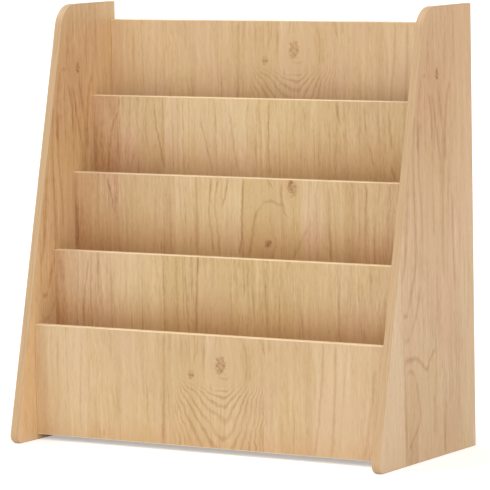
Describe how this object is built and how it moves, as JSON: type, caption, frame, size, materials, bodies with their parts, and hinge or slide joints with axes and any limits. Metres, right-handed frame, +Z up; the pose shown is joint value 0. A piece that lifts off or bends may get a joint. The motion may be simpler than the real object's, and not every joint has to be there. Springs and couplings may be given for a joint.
{
  "type": "tiered book display shelf",
  "caption": "Tiered book display shelf: side panels with a leaning front edge hold stepped upright boards that form narrow pockets for picture books standing cover out.",
  "frame": {"origin": "on the floor under the middle of the shelf's box", "axes": "+Z up, -Y to the front where the books face, +X to the right as seen from the front"},
  "size_m": [0.6, 0.271, 0.614],
  "materials": {
    "side_board": "satin light oak printed foil on particle board, grain upright",
    "upright_board": "satin light oak printed foil on particle board, grain upright",
    "floor_board": "satin light oak printed foil on particle board",
    "dowel": "bare beech",
    "cam_bolt": "zinc plated steel",
    "cam": "cast zinc alloy"
  },
  "bodies": {
    "root": {"side_panel_left": "side_board", "side_panel_right": "side_board", "front_panel": "upright_board", "divider_panel_1": "upright_board", "divider_panel_2": "upright_board", "divider_panel_3": "upright_board", "back_panel": "upright_board", "pocket_floor_1": "floor_board", "pocket_floor_2": "floor_board", "pocket_floor_3": "floor_board", "pocket_floor_4": "floor_board", "dowel_front_left_low": "dowel", "dowel_front_left_high": "dowel", "dowel_front_right_low": "dowel", "dowel_front_right_high": "dowel", "dowel_divider_1_left_low": "dowel", "dowel_divider_1_left_high": "dowel", "dowel_divider_1_right_low": "dowel", "dowel_divider_1_right_high": "dowel", "dowel_divider_2_left_low": "dowel", "dowel_divider_2_left_high": "dowel", "dowel_divider_2_right_low": "dowel", "dowel_divider_2_right_high": "dowel", "dowel_divider_3_left_low": "dowel", "dowel_divider_3_left_high": "dowel", "dowel_divider_3_right_low": "dowel", "dowel_divider_3_right_high": "dowel", "dowel_back_left_low": "dowel", "dowel_back_left_high": "dowel", "dowel_back_right_low": "dowel", "dowel_back_right_high": "dowel", "dowel_floor_1_left": "dowel", "dowel_floor_1_right": "dowel", "dowel_floor_2_left": "dowel", "dowel_floor_2_right": "dowel", "dowel_floor_3_left": "dowel", "dowel_floor_3_right": "dowel", "dowel_floor_4_left": "dowel", "dowel_floor_4_right": "dowel", "cam_bolt_front_left": "cam_bolt", "cam_bolt_front_right": "cam_bolt", "cam_bolt_divider_1_left": "cam_bolt", "cam_bolt_divider_1_right": "cam_bolt", "cam_bolt_divider_2_left": "cam_bolt", "cam_bolt_divider_2_right": "cam_bolt", "cam_bolt_divider_3_left": "cam_bolt", "cam_bolt_divider_3_right": "cam_bolt", "cam_bolt_back_left": "cam_bolt", "cam_bolt_back_right": "cam_bolt", "cam_front_left": "cam", "cam_front_right": "cam", "cam_divider_1_left": "cam", "cam_divider_1_right": "cam", "cam_divider_2_left": "cam", "cam_divider_2_right": "cam", "cam_divider_3_left": "cam", "cam_divider_3_right": "cam", "cam_back_left": "cam", "cam_back_right": "cam"}
  },
  "joints": []
}
